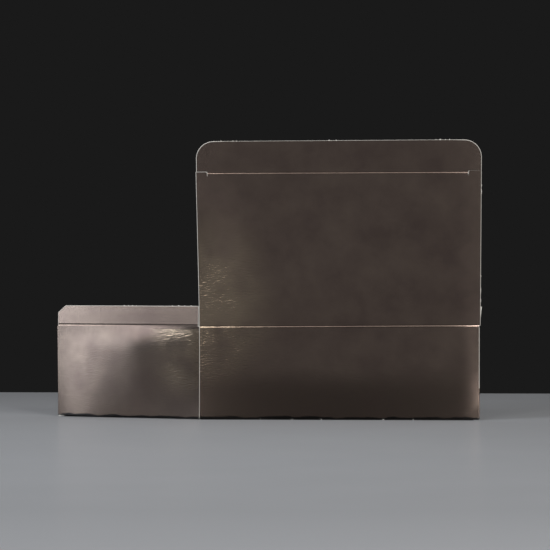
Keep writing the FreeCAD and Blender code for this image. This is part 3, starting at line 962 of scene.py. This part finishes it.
def crease_strip(name, outline, place, line, turn=0.0, groove=(0.32, 0.32), low=-0.4,
                 climb=0.0, skin=FILM, rim=CUT_EDGE):
    """A strip of board across a crease at height line, turned from one panel into the other. The
    groove has a depth at either end, starts at height low from that line, and climbs along it."""
    bm = bmesh.new()
    cut_outline(bm, outline, (), CREASE_PITCH)
    thicken(bm, rim, lambda p: abs(abs(p.y - line) - STRIP) < NEAR / 2)
    paint_by_side(bm, skin)
    pivot = Vector((0, line, BOARD / 2))
    for vert in bm.verts:
        across = vert.co.y - line
        along = vert.co.x / outline[1][0]
        depth = groove[0] + (groove[1] - groove[0]) * along
        vert.co.z -= depth * math.exp(-((across - low - climb * along) / GROOVE_WIDTH) ** 2)
        part = share((across + STRIP) / (2 * STRIP))
        part = part * part * (3 - 2 * part)
        bend = Matrix.Rotation(math.radians(turn) * part, 3, "X")
        vert.co = pivot + bend @ (vert.co - pivot)
    bmesh.ops.transform(bm, matrix=place, verts=bm.verts[:])
    strip = as_piece(name, [bm], None)
    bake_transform(strip)


print("a live crease bends over", 2 * STRIP, "mm")

# %% [markdown]
# Four creases are live: the lid's, the tuck flap's and one for each dust flap. The lid's strip
# is a little longer at its top than at its foot, because the lid runs past the back wall. One
# function serves all four, with the depth and the slant of each groove as its own values.

# %% Live creases
WALL_PAST = 0.3  # the strip's lower half, past the end of the back wall
STEP_LOW, STEP_HIGH = 0.2, 0.4  # above the crease, where it widens to the lid

crease_strip("lid_crease", [
    (0, HEIGHT - STRIP), (LENGTH + WALL_PAST, HEIGHT - STRIP),
    (LENGTH + WALL_PAST, HEIGHT + STEP_LOW), (LID_WIDTH, HEIGHT + STEP_HIGH),
    (LID_WIDTH, HEIGHT + STRIP), (0, HEIGHT + STRIP)],
    back_frame, HEIGHT, turn=LEAN, groove=(0.2, 0.33),
    low=-0.45, climb=1.2)
crease_strip("tuck_crease", rectangle(
    inner, LID_LENGTH - STRIP, right_inner, LID_LENGTH + STRIP),
    lid_frame, LID_LENGTH, groove=(0.29, 0.31), low=-0.9, climb=0.5,
    rim=0)
crease_strip("dust_crease_left", rectangle(
    DUST_INSET, SIDE_CREASE - STRIP, LEFT_DEPTH - DUST_RELIEF, SIDE_CREASE + STRIP),
    left_frame, SIDE_CREASE, turn=-DUST_LEAN,
    groove=(0.15, 0.06), low=-0.6, skin=SIDE_FILM)
crease_strip("dust_crease_right", rectangle(
    0.0, SIDE_CREASE - STRIP, DEPTH - DUST_INSET, SIDE_CREASE + STRIP),
    right_frame, SIDE_CREASE, turn=SPRUNG)

# %% [markdown]
# The sheet was held in its die by small bridges of board. Where they were torn through, each
# left a tuft of pale fibre on the edge. Hair could make single fibres, but a tuft is under a
# millimetre high and reads as one speck, so each is a rough little icosphere, pressed flat.

# %% Nicks
ROUGH = 0.5  # how far the noise pushes a tuft out of round
ROUGH_SCALE = 1.7
TUFT = 0.24  # half the thickness of a tuft
TUFT_DEEP = 0.16  # its middle, below the film's side
SLIT_TUFT = (0.34, 0.9)  # width and length of the tufts in the slits


def nicks(name, body, spots):
    """Tufts of fibre at (panel frame, x, y, length, height) along cut edges."""
    tufts = []
    for place, x, y, length, height in spots:
        bm = bmesh.new()
        bmesh.ops.create_icosphere(bm, subdivisions=2, radius=1.0)
        for vert in bm.verts:
            vert.co *= 1 + ROUGH * noise.noise(vert.co * ROUGH_SCALE + Vector((x, y, 0)))
        bmesh.ops.scale(bm, vec=(length / 2, height, TUFT), verts=bm.verts[:])
        bmesh.ops.translate(bm, vec=(x, y, BOARD - TUFT_DEEP), verts=bm.verts[:])
        bmesh.ops.transform(bm, matrix=place, verts=bm.verts[:])
        for face in bm.faces:
            face.material_index = CORE
        tufts.append(bm)
    as_piece(name, tufts, body)


nicks("tuck_nicks", "tuck_flap", [
    (lid_frame, x, tuck_top(x), length, height) for x, length, height in (
        (19.1, 0.9, 0.5), (27.9, 0.8, 0.5), (30.4, 0.7, 0.35), (98.5, 1.2, 0.5),
        (103.7, 0.9, 0.45), (177.0, 0.8, 0.4), (180.2, 1.4, 0.5), (184.0, 0.8, 0.4),
        (187.0, 1.0, 0.5))])
nicks("lid_nicks", "lid", [
    (lid_frame, LID_WIDTH, y, width, length) for y, width, length in (
        (19.5, 0.5, 1.4), (27.0, 0.4, 2.6), (38.0, 0.6, 0.8), (101.5, 0.5, 1.6),
        (106.0, 0.6, 0.9))] + [
    (lid_frame, x, LID_LENGTH + y, *SLIT_TUFT) for x, y in (
        (SLIT + 0.1, -1.3), (SLIT + 0.1, -2.8), (RIGHT_SLIT + 0.3, -0.2),
        (RIGHT_SLIT, -1.0), (RIGHT_SLIT - 0.4, -1.8))])
nicks("dust_nicks", "dust_flap_left", [
    (dust_frame, x, SIDE_CREASE + DUST_HEIGHT, length, height) for x, length, height in (
        (55.0, 1.0, 0.45), (58.4, 0.8, 0.5), (61.7, 1.3, 0.4), (65.0, 0.7, 0.35),
        (93.9, 0.9, 0.5), (98.9, 1.1, 0.55), (103.8, 0.8, 0.4), (108.8, 1.0, 0.45))])
nicks("foot_nicks", "carton_body", [
    (back_frame, x, BACK_FOOT, length, height) for x, length, height in (
        (46.3, 0.8, 0.3), (70.2, 2.6, 0.3), (91.9, 1.4, 0.35), (138.2, 1.4, 0.35),
        (160.6, 1.1, 0.35))])

# %% [markdown]
# The box stands on a plain grey table in a dark room. A single plane would do for the top, but a
# bevelled slab has a real edge, which shows from behind and above. It is smooth enough to mirror
# the box a little, and its colour is painted paler near the box and darker away from it: painted
# light, which evens out the box's shadow and the fall of light across the table.

# %% Table
TABLE_SIZE = (3.0, 2.2, 0.03)
TABLE_MIDDLE = (0.05, -0.682, -0.01501)  # its top is a hair below the box
TABLE_ROUND = 0.002
TABLE_PAINTED_LIGHT = (0.352, 0.356, 0.366, 1)
TABLE_DARK = (0.212, 0.215, 0.221, 1)
SPECKLED = 0.12


def make_table():
    bm = bmesh.new()
    bmesh.ops.create_cube(bm, size=1.0)
    bmesh.ops.scale(bm, vec=TABLE_SIZE, verts=bm.verts[:])
    bmesh.ops.translate(bm, vec=TABLE_MIDDLE, verts=bm.verts[:])
    bmesh.ops.bevel(bm, geom=bm.edges[:], offset=TABLE_ROUND, offset_type="OFFSET",
                    affect="EDGES", segments=3, profile=0.5, material=-1)
    mesh = bpy.data.meshes.new("table")
    bm.to_mesh(mesh)
    bm.free()
    table = bpy.data.objects.new("table", mesh)
    bpy.context.scene.collection.objects.link(table)
    material, tree, shader, place = finish("table_top")
    # Painted light: the colour is paler near the box and darker away from it, with a little random
    # speckle.
    reach = add(tree, "ShaderNodeVectorMath", place, operation="LENGTH").outputs["Value"]
    away = remap(tree, reach, From_Min=0.10, From_Max=0.75)
    speck = cloud(tree, place, Scale=14.0, Detail=4.0)
    painted_light_and_speck = calc(tree, "MULTIPLY_ADD", speck, SPECKLED, away)
    fill(shader, Metallic=0.08, Roughness=0.22, Specular_IOR_Level=0.0,
         Base_Color=mix(tree, painted_light_and_speck, TABLE_PAINTED_LIGHT, TABLE_DARK))
    mesh.materials.append(material)


make_table()
print("table:", TABLE_SIZE, "metres")

# %% [markdown]
# Two tall soft lights stand in front, left and right, and smaller and wider ones beside and
# above them shape what the film mirrors. A metallic film shows little of its own colour: what
# it shows is its lamps, so it is lit by large soft shapes and not by bare points. Two more
# light the sides that are turned away.

# %% Lights
AIM = Vector((0.0, 0.0, 0.08))
WHITE = (1, 1, 1)


def soft_light(name, place, size, power, colour=WHITE):
    """A rectangular lamp, in metres and watts, turned to the box."""
    data = bpy.data.lights.new(name, "AREA")
    data.shape = "RECTANGLE"
    data.size, data.size_y = size
    data.energy = power
    data.color = colour
    lamp = bpy.data.objects.new(name, data)
    lamp.location = place
    lamp.rotation_euler = (AIM - Vector(place)).to_track_quat("-Z", "Y").to_euler()
    bpy.context.scene.collection.objects.link(lamp)


soft_light("left_edge", (-0.33, -1.25, 0.56), (0.15, 0.8), 2.8)
soft_light("left_strip", (-0.88, -1.10, 0.51), (0.3, 0.4), 2.1, (0.90, 0.99, 1.10))
soft_light("right_edge", (0.45, -1.25, 0.52), (0.15, 0.8), 4.7)
soft_light("right_strip", (0.90, -1.10, 0.44), (0.25, 0.8), 6.0)
soft_light("left_box", (-1.33, -0.85, 0.23), (0.5, 0.42), 3.6, (0.87, 0.98, 1.10))
soft_light("left_low", (-0.95, -1.06, 0.27), (0.3, 0.15), 0.25, (0.93, 0.99, 1.07))
soft_light("left_high", (-1.13, -0.93, 0.72), (0.62, 0.5), 9.0, (0.96, 0.99, 1.05))
soft_light("front_high", (0.20, -1.30, 0.88), (1.2, 0.5), 4.3)
soft_light("back_left", (-0.95, 1.10, 0.50), (0.4, 0.8), 2.7)
soft_light("back_right", (0.95, 1.10, 0.50), (0.4, 0.8), 2.7)
print("lamps:", [lamp.name for lamp in bpy.data.lights])

# %% [markdown]
# The room is charcoal to the eye and in reflections, and gives the board a little grey fill.
# Real walls would do it too, but the room's colour can simply ask what kind of ray is looking.

# %% Room
ROOM_FILL = (0.20, 0.20, 0.20, 1)
CHARCOAL = (0.0103, 0.0103, 0.0103, 1)
world = bpy.data.worlds.new("room")
bpy.context.scene.world = world
world.use_nodes = True
room = world.node_tree
ray = add(room, "ShaderNodeLightPath").outputs
seen = calc(room, "MAXIMUM", ray["Is Camera Ray"], ray["Is Glossy Ray"])
seen = calc(room, "MAXIMUM", seen, ray["Is Transmission Ray"])
fill(room.nodes["Background"], Color=mix(room, seen, ROOM_FILL, CHARCOAL))
print("room:", [node.bl_label for node in room.nodes])

# %% [markdown]
# The camera is a long lens, low and almost square to the back wall, a little to its right. A
# shorter lens could come closer, but it would spread the walls apart. Depth of field stays off.

# %% Camera
FOCAL_LENGTH = 158.2
SENSOR = 36
CAMERA_PLACE = Vector((0.0990, -1.8045, 0.1055))
CAMERA_LOOK = Vector((-0.0511, 0.9987, 0.00135))
camera_data = bpy.data.cameras.new("camera")
camera_data.lens = FOCAL_LENGTH
camera_data.sensor_width = SENSOR
camera = bpy.data.objects.new("camera", camera_data)
camera.location = CAMERA_PLACE
camera.rotation_euler = CAMERA_LOOK.to_track_quat("-Z", "Y").to_euler()
bpy.context.scene.collection.objects.link(camera)
bpy.context.scene.camera = camera
bpy.context.scene.view_settings.view_transform = "Standard"
print(f"camera: {camera_data.lens:.1f} mm lens, {CAMERA_PLACE.length:.2f} m away")
